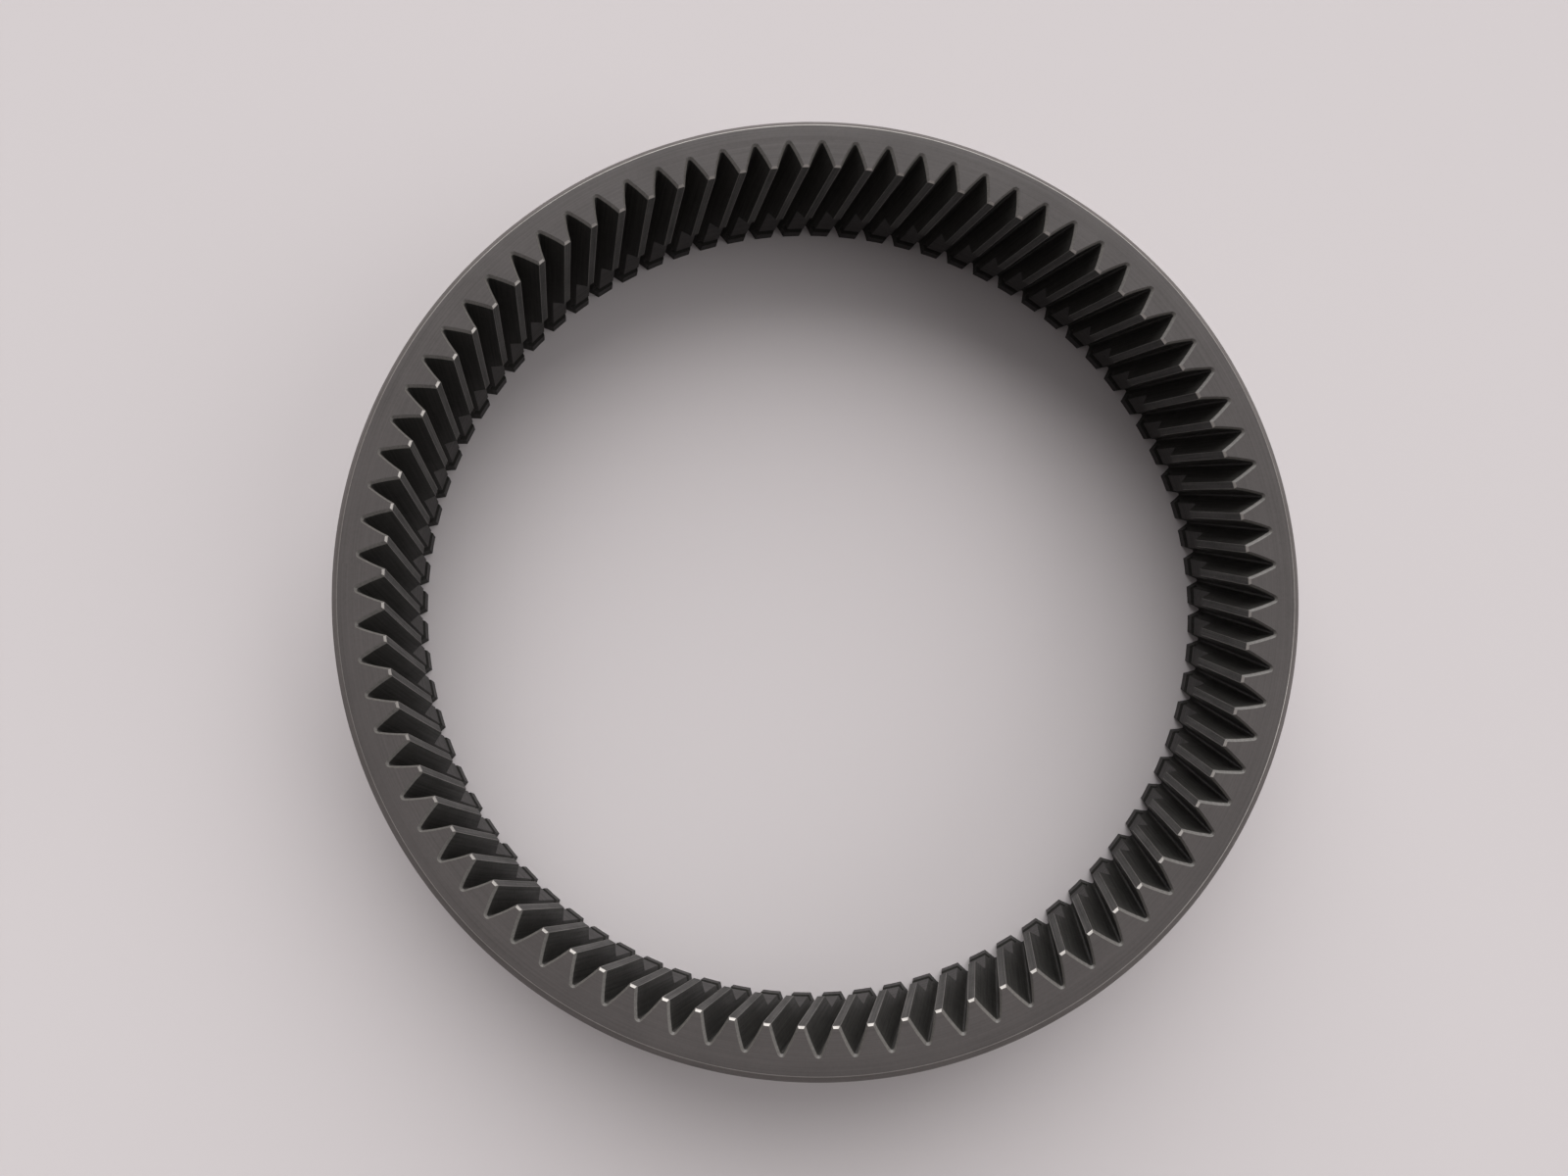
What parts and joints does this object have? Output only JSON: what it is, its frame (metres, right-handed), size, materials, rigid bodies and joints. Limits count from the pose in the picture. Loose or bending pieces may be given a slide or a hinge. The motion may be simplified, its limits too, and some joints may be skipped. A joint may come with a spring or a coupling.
{
  "type": "helical internal ring gear",
  "caption": "Ring gear with left-hand helical teeth inside a plain rim, recessed at one end for a toothed carrier that a snap ring holds.",
  "frame": {"origin": "centre of the recessed end face, on which the gear lies", "axes": "+Z along the gear's axis, from the recessed end to the plain toothed end"},
  "size_m": [0.262, 0.262, 0.054],
  "materials": {
    "phosphated_steel": "machined gear steel under a dark grey manganese phosphate coat, satin"
  },
  "bodies": {
    "root": {"ring_gear": "phosphated_steel"}
  },
  "joints": []
}
